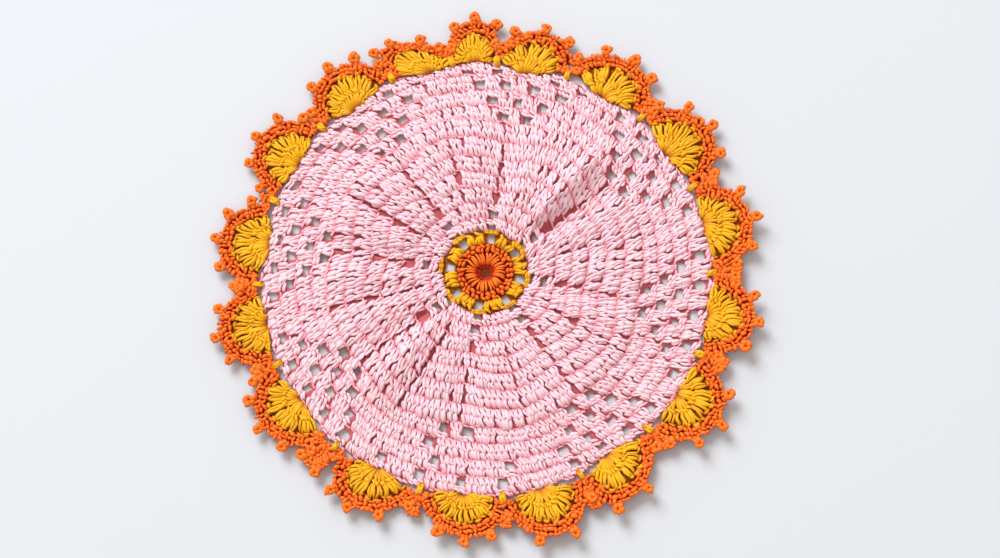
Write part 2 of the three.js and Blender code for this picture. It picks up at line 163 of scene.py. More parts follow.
# How high the underside of the cloth is over each place.
def underside(x, y):
    radius = np.hypot(x, y)
    angle = np.degrees(np.arctan2(y, x))
    folded = ramp(radius, chart["foldStart"], chart["foldFull"])
    folded = folded * (1 - ramp(radius, chart["foldFade"], chart["foldEnd"]))
    return folded * foldHeight(angle) + ramp(radius, chart["rimStart"], chart["rimEnd"]) * rimLift(angle)


# Angle, height and reach in degrees of each crease. The cloth beside it stands up on the side that the reach has.
creases = [(47, 3.0, -11), (47, 3.0, 9), (81, 0.8, 11), (127.5, 1.5, 11), (149, 1.3, -11), (171.5, 1.5, 11),
           (193, 0.8, 11), (215.5, 1.8, 11), (237, 1.5, -11), (259.5, 0.7, 11), (306, 0.9, 11), (329, 0.6, -11),
           (349, 0.9, 11)]


def creased(x, y):
    radius = np.hypot(x, y)
    angle = np.degrees(np.arctan2(y, x))
    rise = 0
    for at, height, reach in creases:
        away = ((angle - at + 180) % 360 - 180) / reach
        rise = rise + height * np.where(away > 0, np.clip(1 - away, 0, 1) ** 2, 0)
    fade = 1 - ramp(radius, chart["creaseFade"], chart["creaseEnd"])
    return rise * ramp(radius, chart["creaseStart"], chart["creaseFull"]) * fade


# A random amount up to reach either way.
def stray(reach):
    return chance.uniform(-reach, reach)


def polar(radius, angle):
    return np.array([radius * math.cos(math.radians(angle)), radius * math.sin(math.radians(angle))])


# The outer radius of a pink round.
def pinkTop(index, angle):
    if index < 0:
        return chart["pinkInner"]
    top = chart["pinkTops"][index] + chart["pinkSwings"][index] * float(swingAt(angle))
    if index == len(chart["pinkTops"]) - 1:
        top = float(pinkEdge(angle)) - chart["pinkMargin"]
    return top


# Small wanderings, so that no round is quite even. Each wave has its run along x and y and its share of the phase.
waves = ((0.83, 0.31, 1.0), (-0.47, 0.92, 2.1), (0.21, -1.13, 3.7))
phases = {"x": 1.0, "y": 2.6, "z": 4.0}


def waver(x, y, phase):
    return sum(np.sin(alongX * x + alongY * y + share * phase) for alongX, alongY, share in waves) / len(waves)


# Lifts a flat mesh onto the folds and moves it to the frame.
def lay(mesh):
    co = np.zeros(len(mesh.vertices) * 3, np.float32)
    mesh.vertices.foreach_get("co", co)
    co = co.reshape(-1, 3)
    x, y = co[:, 0] / mm, co[:, 1] / mm
    rise = underside(x, y) + creased(x, y) + chart["riseWaver"] * (1 + waver(x / 2, y / 2, phases["z"]))
    co[:, 0] += chart["sideWaver"] * mm * waver(x, y, phases["x"]) + hub.x
    co[:, 1] += chart["sideWaver"] * mm * waver(x, y, phases["y"]) + hub.y
    co[:, 2] += (rise * mm).astype(np.float32)
    mesh.vertices.foreach_set("co", co.ravel())
    mesh.update()


# Yarn: the stitches are put together from single strands. A strand's few points become one smooth line.
def smoothPath(path, count):
    points = np.array(path, float)
    padded = np.vstack([2 * points[0] - points[1], points, 2 * points[-1] - points[-2]])
    out = []
    for place in np.linspace(0, len(points) - 1, count):
        index = min(int(place), len(points) - 2)
        t = place - index
        a, b, c, d = padded[index:index + 4]
        out.append(0.5 * (2 * b + (c - a) * t + (2 * a - 5 * b + 4 * c - d) * t ** 2
                          + (3 * b - a - 3 * c + d) * t ** 3))
    return np.array(out)


# A path has u across to the left, v outwards and z up, in millimetres. The ends narrow to a share of the radius
# over a share of the length. A strand is known by its number in its collection.
def addStrand(collection, path, radius, sides=6, rings=6, ends=(0.6, 0.6), spans=(0.25, 0.25), lean=0.0):
    line = smoothPath([(-u - lean * v, v, z) for u, v, z in path], rings)
    tangents = np.gradient(line, axis=0)
    lengths = np.concatenate([[0], np.cumsum(np.linalg.norm(np.diff(line, axis=0), axis=1))])
    verts, faces, uvs = [], [], []
    for ring, (centre, tangent) in enumerate(zip(line, tangents)):
        tangent = tangent / np.linalg.norm(tangent)
        side = np.cross((0, 0, 1), tangent)
        side = side / np.linalg.norm(side)
        normal = np.cross(tangent, side)
        share = ring / (rings - 1)
        thick = radius * (1 - (1 - ends[0]) * max(0, 1 - share / spans[0]) ** 2
                          - (1 - ends[1]) * max(0, 1 - (1 - share) / spans[1]) ** 2)
        for corner in range(sides):
            turn = 2 * math.pi * corner / sides
            verts.append(centre + thick * (math.cos(turn) * side + math.sin(turn) * normal))
    for ring in range(rings - 1):
        for corner in range(sides):
            beside = (corner + 1) % sides
            a, b = ring * sides, (ring + 1) * sides
            faces.append((a + corner, a + beside, b + beside, b + corner))
            left, right = corner / sides, (corner + 1) / sides
            uvs += [(left, lengths[ring]), (right, lengths[ring]),
                    (right, lengths[ring + 1]), (left, lengths[ring + 1])]
    last = (rings - 1) * sides
    faces.append(tuple(range(sides - 1, -1, -1)))
    faces.append(tuple(range(last, last + sides)))
    uvs += [(0.5, lengths[0])] * sides + [(0.5, lengths[-1])] * sides
    mesh = bpy.data.meshes.new(f"strand{len(collection.objects):02d}")
    mesh.from_pydata([tuple(v * mm) for v in verts], [], faces, shade_flat=False)
    layer = mesh.uv_layers.new(name="yarn")
    layer.data.foreach_set("uv", np.array(uvs, np.float32).ravel())
    # The height of each point picks the painted shade low in the strand and the painted light on top.
    height = mesh.attributes.new("height", "FLOAT", "POINT")
    height.data.foreach_set("value", np.array([v[2] for v in verts], np.float32))
    strand = bpy.data.objects.new(f"{collection.name}{len(collection.objects):02d}", mesh)
    collection.objects.link(strand)
    return len(collection.objects) - 1


# Values are numbers or the outputs of other nodes.
def mathNode(tree, operation, *values):
    node = tree.nodes.new("ShaderNodeMath")
    node.operation = operation
    for socket, value in zip(node.inputs, values):
        if isinstance(value, (int, float)):
            socket.default_value = value
        else:
            tree.links.new(value, socket)
    return node.outputs[0]


# The strands of one stitch, each given as its radius and its path.
def addStrands(collection, strands, **shape):
    return tuple(addStrand(collection, path, radius, **shape) for radius, path in strands)


# The tree that puts a strand at each point of a chart.
def stitchTree():
    tree = bpy.data.node_groups.new("Work stitches", "GeometryNodeTree")
    for label, kind in (("Stitch points", "Geometry"), ("Strands", "Collection"), ("Loose turn", "Float"),
                        ("Loose size", "Float"), ("Seed", "Int"), ("Yarn", "Material")):
        tree.interface.new_socket(label, in_out="INPUT", socket_type="NodeSocket" + kind)
    tree.interface.new_socket("Work", in_out="OUTPUT", socket_type="NodeSocketGeometry")
    nodes, links = tree.nodes, tree.links
    given = nodes.new("NodeGroupInput")
    made = nodes.new("NodeGroupOutput")

    def attribute(name, kind):
        node = nodes.new("GeometryNodeInputNamedAttribute")
        node.data_type = kind
        node.inputs["Name"].default_value = name
        return node.outputs["Attribute"]

    def randomBetween(reach, seedStep):
        node = nodes.new("FunctionNodeRandomValue")
        node.data_type = "FLOAT"
        links.new(mathNode(tree, "MULTIPLY", reach, -1.0), node.inputs[2])
        links.new(reach, node.inputs[3])
        links.new(mathNode(tree, "ADD", given.outputs["Seed"], seedStep), node.inputs["Seed"])
        return node.outputs[1]

    strands = nodes.new("GeometryNodeCollectionInfo")
    strands.inputs["Separate Children"].default_value = True
    strands.inputs["Reset Children"].default_value = True
    links.new(given.outputs["Strands"], strands.inputs["Collection"])
    turn = nodes.new("ShaderNodeCombineXYZ")
    looseTurn = randomBetween(given.outputs["Loose turn"], 0)
    links.new(mathNode(tree, "ADD", attribute("turn", "FLOAT"), looseTurn), turn.inputs["Z"])
    size = nodes.new("ShaderNodeVectorMath")
    size.operation = "SCALE"
    links.new(attribute("size", "FLOAT_VECTOR"), size.inputs[0])
    looseSize = randomBetween(given.outputs["Loose size"], 1)
    links.new(mathNode(tree, "ADD", looseSize, 1.0), size.inputs["Scale"])
    placed = nodes.new("GeometryNodeInstanceOnPoints")
    placed.inputs["Pick Instance"].default_value = True
    links.new(given.outputs["Stitch points"], placed.inputs["Points"])
    links.new(strands.outputs["Instances"], placed.inputs["Instance"])
    links.new(attribute("kind", "INT"), placed.inputs["Instance Index"])
    links.new(turn.outputs["Vector"], placed.inputs["Rotation"])
    links.new(size.outputs["Vector"], placed.inputs["Scale"])
    real = nodes.new("GeometryNodeRealizeInstances")
    dyed = nodes.new("GeometryNodeSetMaterial")
    links.new(placed.outputs["Instances"], real.inputs["Geometry"])
    links.new(real.outputs["Geometry"], dyed.inputs["Geometry"])
    links.new(given.outputs["Yarn"], dyed.inputs["Material"])
    links.new(dyed.outputs["Geometry"], made.inputs["Work"])
    return tree


workTree = stitchTree()


# The points of a piece. All the strands of one stitch share its place and its tint.
class Chart:
    def __init__(self):
        self.places, self.turns, self.sizes, self.kinds, self.tints = [], [], [], [], []

    def add(self, kinds, place, turn, size=(1, 1, 1), height=0.0):
        tint = chance.random()
        for kind in kinds:
            self.places.append((place[0] * mm, place[1] * mm, height * mm))
            self.turns.append(math.radians(turn))
            self.sizes.append(size)
            self.kinds.append(kind)
            self.tints.append(tint)


# Turns a chart of points into one plain mesh of yarn that lies on the folds.
def workPiece(name, points, strands, yarn, looseTurn=0.0, looseSize=0.0, seed=1):
    mesh = bpy.data.meshes.new(name + "Points")
    mesh.from_pydata(points.places, [], [])
    for label, kind, values, field in (
        ("turn", "FLOAT", points.turns, "value"), ("size", "FLOAT_VECTOR", points.sizes, "vector"),
        ("kind", "INT", points.kinds, "value"), ("tint", "FLOAT", points.tints, "value"),
    ):
        data = mesh.attributes.new(label, kind, "POINT").data
        data.foreach_set(field, np.array(values, np.int32 if kind == "INT" else np.float32).ravel())
    source = bpy.data.objects.new(name + "Points", mesh)
    bpy.context.scene.collection.objects.link(source)
    modifier = source.modifiers.new("Work", "NODES")
    modifier.node_group = workTree
    sockets = {item.name: item.identifier for item in workTree.interface.items_tree if item.in_out == "INPUT"}
    modifier[sockets["Strands"]] = strands
    modifier[sockets["Loose turn"]] = math.radians(looseTurn)
    modifier[sockets["Loose size"]] = looseSize
    modifier[sockets["Seed"]] = seed
    modifier[sockets["Yarn"]] = yarn
    bpy.context.view_layer.update()
    evaluated = source.evaluated_get(bpy.context.evaluated_depsgraph_get())
    work = bpy.data.meshes.new_from_object(evaluated)
    bpy.data.objects.remove(source)
    for label in ("turn", "size", "kind"):
        if label in work.attributes:
            work.attributes.remove(work.attributes[label])
    work.name = name
    if yarn.name not in [m.name for m in work.materials if m]:
        work.materials.clear()
        work.materials.append(yarn)
    lay(work)
    piece = bpy.data.objects.new(name, work)
    bpy.context.scene.collection.objects.link(piece)
    triangles = sum(len(face.vertices) - 2 for face in work.polygons)
    print(f"{name}: {len(points.places)} strands, {triangles} triangles")
    return piece


# A thin closed sheet over each grid of points. A grid runs anticlockwise by columns and outwards by rows, and
# its cells are open where shown is false.
class Sheet:
    def __init__(self, low, high):
        self.low, self.high = low, high
        self.verts, self.faces = [], []

    def add(self, grid, shown, wraps=False):
        columns, rows = len(grid), len(grid[0])
        start = len(self.verts)
        flat = [tuple(point) for column in grid for point in column]
        self.verts += [(x * mm, y * mm, self.low * mm) for x, y in flat]
        upper = len(flat)
        self.verts += [(x * mm, y * mm, self.high * mm) for x, y in flat]
        cells = columns if wraps else columns - 1

        def isShown(a, ring):
            if not 0 <= ring < rows - 1:
                return False
            if wraps:
                a %= columns
            return 0 <= a < cells and shown(a, ring)

        for a in range(cells):
            b = (a + 1) % columns
            for ring in range(rows - 1):
                if not isShown(a, ring):
                    continue
                places = ((a, ring), (a, ring + 1), (b, ring + 1), (b, ring))
                corners = [start + column * rows + row for column, row in places]
                self.faces.append(tuple(upper + c for c in corners))
                self.faces.append(tuple(reversed(corners)))
                for first, second, beside in ((0, 1, (a - 1, ring)), (1, 2, (a, ring + 1)),
                                              (2, 3, (a + 1, ring)), (3, 0, (a, ring - 1))):
                    if not isShown(*beside):
                        first, second = corners[first], corners[second]
                        self.faces.append((first, second, upper + second, upper + first))

    def piece(self, name, material):
        used = sorted({v for face in self.faces for v in face})
        fresh = {v: i for i, v in enumerate(used)}
        mesh = bpy.data.meshes.new(name)
        mesh.from_pydata([self.verts[v] for v in used], [], [tuple(fresh[v] for v in face) for face in self.faces],
                         shade_flat=False)
        mesh.materials.append(material)
        lay(mesh)
        piece = bpy.data.objects.new(name, mesh)
        bpy.context.scene.collection.objects.link(piece)
        print(f"{name}: {2 * len(mesh.polygons)} triangles")
        return piece


def everyCell(column, ring):
    return True


# A thin closed sheet that goes all the way round, with a ring of points at each radius.
def ringSheet(name, material, radii, columns, heights, shown=everyCell):
    sheet = Sheet(*heights)
    grid = [[polar(radius, 360 * column / columns) for radius in radii] for column in range(columns)]
    sheet.add(grid, shown, wraps=True)
    return sheet.piece(name, material)


# Cotton: a deep colour low between the stitches as painted shade and a light one on top of them as painted light, with
# plies that turn round each strand.
cotton = {
    "roughness": 0.5, "sheen": 0.05, "sheenRoughness": 0.4, "specular": 0.3,
    "deepAt": 0.08, "middleAt": 0.5, "tintShare": 0.3,
    "plies": 3, "pliesTurn": 0.42, "plyStrength": 0.2, "plyDepth": 0.0002,
}
groundLook = {"roughness": 0.9, "specular": 0.1}


# The painted light and painted shade belong to heights in the stitch, in millimetres: the low parts of each strand take
# the painted shade, the tops the painted light.
def yarnMaterial(name, paintedShade, middle, paintedLight, heights):
    material = bpy.data.materials.new(name)
    material.use_nodes = True
    tree = material.node_tree
    nodes, links = tree.nodes, tree.links
    shader = nodes["Principled BSDF"]
    shader.inputs["Roughness"].default_value = cotton["roughness"]
    shader.inputs["Sheen Weight"].default_value = cotton["sheen"]
    shader.inputs["Sheen Roughness"].default_value = cotton["sheenRoughness"]
    shader.inputs["Specular IOR Level"].default_value = cotton["specular"]
    height = nodes.new("ShaderNodeAttribute")
    height.attribute_name = "height"
    tint = nodes.new("ShaderNodeAttribute")
    tint.attribute_name = "tint"
    place = nodes.new("ShaderNodeMapRange")
    place.inputs["From Min"].default_value = heights[0]
    place.inputs["From Max"].default_value = heights[1]
    links.new(height.outputs["Fac"], place.inputs["Value"])
    shades = nodes.new("ShaderNodeValToRGB")
    first, last = shades.color_ramp.elements
    first.position = cotton["deepAt"]
    first.color = (*paintedShade, 1)
    last.color = (*paintedLight, 1)
    shades.color_ramp.elements.new(cotton["middleAt"]).color = (*middle, 1)
    mixed = mathNode(tree, "MULTIPLY_ADD", tint.outputs["Fac"], cotton["tintShare"], place.outputs["Result"])
    links.new(mixed, shades.inputs["Fac"])
    links.new(shades.outputs["Color"], shader.inputs["Base Color"])
    uv = nodes.new("ShaderNodeUVMap")
    uv.uv_map = "yarn"
    split = nodes.new("ShaderNodeSeparateXYZ")
    links.new(uv.outputs["UV"], split.inputs[0])
    along = mathNode(tree, "MULTIPLY_ADD", split.outputs["Y"], cotton["pliesTurn"], split.outputs["X"])
    plies = mathNode(tree, "SINE", mathNode(tree, "MULTIPLY", along, cotton["plies"] * 2 * math.pi))
    bump = nodes.new("ShaderNodeBump")
    bump.inputs["Strength"].default_value = cotton["plyStrength"]
    bump.inputs["Distance"].default_value = cotton["plyDepth"]
    links.new(plies, bump.inputs["Height"])
    links.new(bump.outputs["Normal"], shader.inputs["Normal"])
    return material


def groundMaterial(name, color, roughness=groundLook["roughness"]):
    material = bpy.data.materials.new(name)
    material.use_nodes = True
    shader = material.node_tree.nodes["Principled BSDF"]
    shader.inputs["Base Color"].default_value = (*color, 1)
    shader.inputs["Roughness"].default_value = roughness
    shader.inputs["Specular IOR Level"].default_value = groundLook["specular"]
    return material


# Each yarn: its painted shade, middle and painted light colours, and the heights in the stitch that they belong to.
pinkYarn = yarnMaterial("pinkCotton", (0.82, 0.19, 0.235), (0.945, 0.38, 0.445), (0.98, 0.67, 0.74), (0.7, 3.4))
yellowYarn = yarnMaterial("yellowCotton", (0.34, 0.075, 0.001), (0.66, 0.21, 0.001), (0.95, 0.49, 0.003), (1.0, 3.8))
orangeYarn = yarnMaterial("orangeCotton", (0.32, 0.008, 0.001), (0.74, 0.055, 0.002), (0.97, 0.20, 0.010), (1.0, 3.6))
# The ground materials are dark, as painted shade between the stitches and in the hollows.
pinkShade = groundMaterial("pinkShade", (0.56, 0.13, 0.145))
yellowShade = groundMaterial("yellowShade", (0.36, 0.10, 0.001))
orangeShade = groundMaterial("orangeShade", (0.36, 0.016, 0.001))
wellShade = groundMaterial("wellShade", (0.15, 0.045, 0.010))

# Pink rounds: every double crochet is two tiers of short thick strands that lean alike, with a head on top.
pinkStitch = {
    "post": 0.9, "side": 0.76, "head": 0.6, "bar": 0.84,
    "height": 7.9, "lean": 0.2,
    "looseTurn": 2.0, "stitchTurn": 8.0, "looseSize": 0.06, "shift": 0.4, "lift": 0.3,
    "barOver": 0.5,  # how far a bar runs past each side of its gap
}
pinkStrands = bpy.data.collections.new("pinkStrand")
postEnds = {"rings": 5, "ends": (0.7, 0.7), "spans": (0.3, 0.3), "lean": pinkStitch["lean"]}
roundStitch = addStrands(pinkStrands, (
    (pinkStitch["side"], [(0.45, -0.7, 1.1), (1.1, 0.9, 2.0), (1.15, 2.2, 2.5), (0.75, 4.3, 2.4)]),
    (pinkStitch["side"], [(-0.5, -0.7, 1.1), (-0.8, 1.0, 2.1), (-0.45, 2.4, 2.65), (0.35, 4.4, 2.5)]),
    (pinkStitch["post"], [(-0.1, 3.5, 2.2), (0.1, 4.9, 2.8), (0.45, 6.3, 2.4), (0.75, 7.8, 1.2)]),
    (pinkStitch["side"], [(-1.2, 3.6, 1.6), (-1.0, 5.0, 2.1), (-0.7, 6.3, 1.8), (-0.4, 7.5, 1.1)]),
), **postEnds)
crossedStitch = addStrands(pinkStrands, (
    (pinkStitch["post"], [(-0.3, -0.8, 1.1), (-0.25, 0.9, 2.1), (0.2, 2.5, 2.7), (0.6, 4.2, 2.5)]),
    (pinkStitch["side"], [(1.0, -0.5, 1.0), (1.25, 0.9, 1.8), (1.35, 2.3, 2.1), (1.3, 3.6, 1.8)]),
    (pinkStitch["side"], [(0.35, 3.4, 2.2), (0.85, 4.8, 2.6), (0.9, 6.3, 2.2), (0.5, 7.7, 1.1)]),
    (pinkStitch["side"], [(-0.5, 3.5, 2.2), (-0.8, 5.0, 2.6), (-0.5, 6.5, 2.2), (0.0, 7.8, 1.1)]),
), **postEnds)
head = addStrands(pinkStrands, (
    (pinkStitch["head"], [(-1.5, 7.5, 1.1), (-0.6, 7.6, 1.55), (0.5, 7.9, 1.6), (1.5, 8.2, 1.1)]),
), rings=5)
bar = addStrands(pinkStrands, (
    (pinkStitch["bar"], [(-1.7, 4.9, 1.3), (-0.6, 5.1, 2.2), (0.6, 5.7, 2.3), (1.7, 6.4, 1.4)]),
    (pinkStitch["bar"], [(-1.7, 6.5, 1.3), (-0.6, 6.8, 2.2), (0.6, 7.4, 2.3), (1.7, 8.1, 1.4)]),
), rings=5)

# Open places are half widths in millimetres: the start lines and the seams, round by round, and the windows of
# the mesh. The shares widen or narrow the lines and seams of each repeat, the lines only from shareFrom onwards.
lineHalves = [2.8, 2.8, 1.9, 0.9, 0.85, 0.75, 0.55]
seamHalves = [0, 0, 0.7, 0.85, 0.85, 0.75, 0.5]
lineShares = [1.15, 0.9, 1.15, 1.25, 1.3, 0.85, 0.9, 0.95]
seamShares = [0.3, 0.95, 1.2, 1.1, 1.4, 0.8, 0.85, 0.5]
meshWork = {
    "window": 2.6, "wider": (0.97, 1.2),
    "pitch": 8.3,  # degrees between two windows
    "open": 2.5,  # the half width from which a gap shows the surface underneath
    "rise": 0.8,  # the mesh is flatter than the close rounds
    "firstRound": 7, "shareFrom": 2,
}

# Each repeat's mesh: how far it is turned from its line, the windows in three rounds, and how many windows the
# last round has between two angles.
meshRepeats = [
    (-1.1, (2, 3, 4), 5, 17, 49),
    (-2.0, (2, 3, 4), 5, 61.5, 94.5),
    (-1.6, (2, 3, 4), 5, 109.5, 142),
    (-0.6, (2, 3, 4), 5, 154.5, 186.5),
    (-1.3, (2, 3, 4), 5, 198, 229.5),
    (0.0, (2, 0, 0), 4, 241, 274.5),
    (-0.5, (2, 3, 4), 4, 294.5, 320),
    (-0.1, (2, 3, 4), 5, 331, 364.5),
]
strayWindows = [(8, 252, 3.4), (9, 255, 2.55), (9, 277, 2.55)]  # round, angle and half width

gaps = [[] for _ in chart["pinkTops"]]  # angle and half width, for each round
for index, at, half in strayWindows:
    gaps[index].append((at, half))
for (line, seam, *_), (shift, counts, edgeWindows, edgeFrom, edgeTo), lineShare, seamShare in zip(
        repeats, meshRepeats, lineShares, seamShares):
    for index, half in enumerate(lineHalves):
        gaps[index].append((line, half * (lineShare if index >= meshWork["shareFrom"] else 1)))
    for index, half in enumerate(seamHalves):
        if half:
            gaps[index].append((seam, half * seamShare))
    for step, count in enumerate(counts):
        for place in range(count):
            at = line + shift + (place - (count - 1) / 2) * meshWork["pitch"]
            gaps[meshWork["firstRound"] + step].append((at, meshWork["window"] * chance.uniform(*meshWork["wider"])))
    for place in range(edgeWindows):
        at = edgeFrom + place * (edgeTo - edgeFrom) / (edgeWindows - 1)
        gaps[-1].append((at, meshWork["window"] * chance.uniform(*meshWork["wider"])))


# The angle that half a gap takes up in the middle of its round.
def halfTurn(index, at, half):
    return math.degrees(2 * half / (pinkTop(index - 1, at) + pinkTop(index, at)))


# The stretches of a round between its gaps.
def stretches(index):
    spans = []
    for at, half in gaps[index]:
        turn = halfTurn(index, at, half)
        spans.append(((at - turn) % 360, (at - turn) % 360 + 2 * turn))
    spans.sort()
    return [(end, spans[(i + 1) % len(spans)][0] + (360 if i + 1 == len(spans) else 0))
            for i, (start, end) in enumerate(spans)]


# The stitches between the gaps of a round, and the chain over each gap.
def pinkRound(points, index):
    rise = 1 if index < meshWork["firstRound"] else meshWork["rise"]
    for start, end in stretches(index):
        middle = (pinkTop(index - 1, start) + pinkTop(index, start)) / 2
        width = math.radians(end - start) * middle
        count = max(1, round(width / chart["gauge"]))
        for place in range(count):
            angle = start + (place + 0.5) * (end - start) / count
            low, high = pinkTop(index - 1, angle), pinkTop(index, angle)
            size = (width / count / chart["gauge"], (high - low) / pinkStitch["height"], rise)
            turn = angle - 90 + stray(pinkStitch["stitchTurn"])
            foot = polar(low + stray(pinkStitch["shift"]), angle)
            points.add(chance.choice((roundStitch, roundStitch, crossedStitch)), foot, turn, size,
                       height=stray(pinkStitch["lift"]))
            points.add(head, polar(low, angle), angle - 90, size)
    for at, half in gaps[index]:
        high = pinkTop(index, at)
        width = 2 * (half + pinkStitch["barOver"])
        count = max(1, round(width / chart["gauge"]))
        for place in range(count):
            angle = at + math.degrees((place + 0.5 - count / 2) * width / count / high)
            points.add(bar if half > meshWork["open"] else head, polar(high - pinkStitch["height"], angle),
                       angle - 90, (width / count / chart["gauge"], 1, rise))


pinkPieces = []
for name, rounds in (("pinkInnerRounds", range(0, 5)), ("pinkMiddleRounds", range(5, 7)),
                     ("pinkOuterRounds", range(7, 9)), ("pinkMeshRounds", range(9, 11))):
    points = Chart()
    for index in rounds:
        pinkRound(points, index)
    pinkPieces.append(workPiece(name, points, pinkStrands, pinkYarn,
                                pinkStitch["looseTurn"], pinkStitch["looseSize"], seed=3))

# The sheet under the pink stitches fills the gaps between them, as the close fabric hides the surface, in dark rose as
# painted shade between the stitches. It is open at every window, but its holes are smaller than the windows, so a lip
# of painted shade shows round each window. Its rings are at shares of the height of each round.
pinkGroundSet = {"columns": 480, "shares": (0.16, 0.39, 0.62, 1.0), "heights": (0.3, 0.8), "spare": -0.5, "inset": 0.6}


def pinkColumn(angle):
    radii = [chart["pinkInner"]]
    for index in range(len(chart["pinkTops"])):
        low, high = pinkTop(index - 1, angle), pinkTop(index, angle)
        radii += [low + (high - low) * share for share in pinkGroundSet["shares"]]
    radii[-1] -= pinkGroundSet["inset"]
    return [polar(radius, angle) for radius in radii]


def pinkCell(column, ring):
    index, part = divmod(ring, len(pinkGroundSet["shares"]))
    if part == len(pinkGroundSet["shares"]) - 1 or (part == 0 and index):
        return True
    angle = (column + 0.5) * 360 / pinkGroundSet["columns"]
    for at, half in gaps[index]:
        away = abs((angle - at + 180) % 360 - 180)
        if half > meshWork["open"] and away < halfTurn(index, at, half + pinkGroundSet["spare"]):
            return False
    return True


pinkSheet = Sheet(*pinkGroundSet["heights"])
pinkSheet.add([pinkColumn(column * 360 / pinkGroundSet["columns"]) for column in range(pinkGroundSet["columns"])],
              pinkCell, wraps=True)
ground = pinkSheet.piece("pinkGround", pinkShade)

# Rosette: long stitches that climb out of a sunken hole, with beads of yarn round them. The turns and places of
# beads and ridges stray by at most the value given, and the pairs are ranges.
rosette = {
    "ridges": 34, "ridge": 0.56, "ridgeTurn": 1.5, "ridgeLengths": (0.95, 1.02), "ridgeHeights": (0.93, 1.05),
    "rowRadii": (11.2, 13.0), "rowCounts": (28, 32), "bead": 0.92,
    "beadPlace": 0.3, "beadAround": 2, "beadTurn": 30, "beadHeights": (0.85, 1.05),
    "looseTurn": 2, "looseSize": 0.05,
    "groundRadii": (2.6, 6, 10, 13.9), "groundColumns": 48, "groundHeights": (0.15, 0.6),
    "wellRadii": (0.05, 1.2, 2.5), "wellColumns": 24, "wellHeights": (0.1, 0.4),
}
orangeStrands = bpy.data.collections.new("orangeStrand")
ridge = addStrand(orangeStrands, [(0, 1.9, 0.5), (0.0, 3.2, 0.6), (0.0, 4.4, 1.0), (0.05, 5.4, 2.4), (0.1, 7.0, 3.3),
                                  (0.0, 8.8, 3.3), (0.0, 10.0, 2.2)], rosette["ridge"], rings=9, ends=(0.4, 0.9),
                  spans=(0.5, 0.15))
bead = addStrand(orangeStrands, [(-0.95, -0.25, 1.2), (-0.35, 0.0, 2.2), (0.35, 0.1, 2.3), (0.95, 0.4, 1.3)],
                 rosette["bead"], rings=5)
knot = addStrand(orangeStrands, [(-0.5, -0.9, 1.0), (0.0, -0.2, 2.4), (0.25, 0.6, 2.3), (0.4, 1.2, 1.3)],
                 rosette["bead"], rings=5)
rosettePoints = Chart()
for place in range(rosette["ridges"]):
    angle = 360 * place / rosette["ridges"] + stray(rosette["ridgeTurn"])
    size = (1, chance.uniform(*rosette["ridgeLengths"]), chance.uniform(*rosette["ridgeHeights"]))
    rosettePoints.add((ridge,), (0, 0), angle - 90, size)
for radius, count in zip(rosette["rowRadii"], rosette["rowCounts"]):
    for place in range(count):
        angle = 360 * (place + 0.5) / count + stray(rosette["beadAround"])
        rosettePoints.add((chance.choice((bead, knot)),), polar(radius + stray(rosette["beadPlace"]), angle),
                          angle - 90 + stray(rosette["beadTurn"]), (1, 1, chance.uniform(*rosette["beadHeights"])))
rosettePiece = workPiece("rosetteStitches", rosettePoints, orangeStrands, orangeYarn,
                         rosette["looseTurn"], rosette["looseSize"], seed=7)
# Under the rosette lies a dark red sheet, painted shade between the ridges and beads.
rosetteGround = ringSheet("rosetteGround", orangeShade, rosette["groundRadii"], rosette["groundColumns"],
                          rosette["groundHeights"])
# The hole is shut by a dark brown disc, painted shade for the hollow in the middle.
rosetteWell = ringSheet("rosetteWell", wellShade, rosette["wellRadii"], rosette["wellColumns"],
                        rosette["wellHeights"])

# Yellow round: groups of chunky stitches, with a bar of chain over the window between each two groups.
yellowSet = {
    "foot": 14.2, "middle": 17.5, "post": 0.95, "head": 0.84, "group": 3, "windowHalf": 2.5,
    "stitchTurn": 18, "stitchLengths": (0.92, 1.06),
    "bars": 3, "barStep": 0.8, "barTurn": 6, "barRadii": (20.8, 20.4, 20.9, 22.0, 21.0, 20.2, 20.4, 21.0),
    "looseTurn": 5, "looseSize": 0.07,
    "groundRadii": (14.1, 15.0, 19.6, 20.6), "groundColumns": 144, "groundHeights": (0.15, 0.9), "openTurn": 6.5,
}
yellowStrands = bpy.data.collections.new("yellowStrand")
yellowStitch = addStrands(yellowStrands, (
    (yellowSet["post"], [(0.7, -0.5, 0.9), (0.95, 1.2, 2.2), (0.6, 3.0, 2.6), (0.4, 4.6, 1.4)]),
    (yellowSet["post"], [(-0.6, -0.3, 1.0), (-0.75, 1.6, 2.4), (-0.5, 3.4, 2.7), (0.2, 5.2, 1.6)]),
)) + addStrands(yellowStrands, (
    (yellowSet["head"], [(-1.3, 4.6, 1.1), (-0.4, 4.7, 2.7), (0.6, 5.3, 2.8), (1.3, 5.9, 1.2)]),
), rings=5)
yellowBar = addStrands(yellowStrands, (
    (yellowSet["head"], [(-1.5, -0.3, 1.2), (-0.6, -0.7, 2.1), (0.6, -0.4, 2.2), (1.5, 0.1, 1.3)]),
    (yellowSet["head"], [(-1.5, 0.9, 1.1), (-0.6, 0.5, 1.9), (0.6, 0.6, 2.0), (1.5, 1.1, 1.2)]),
), rings=5)
yellowPoints = Chart()
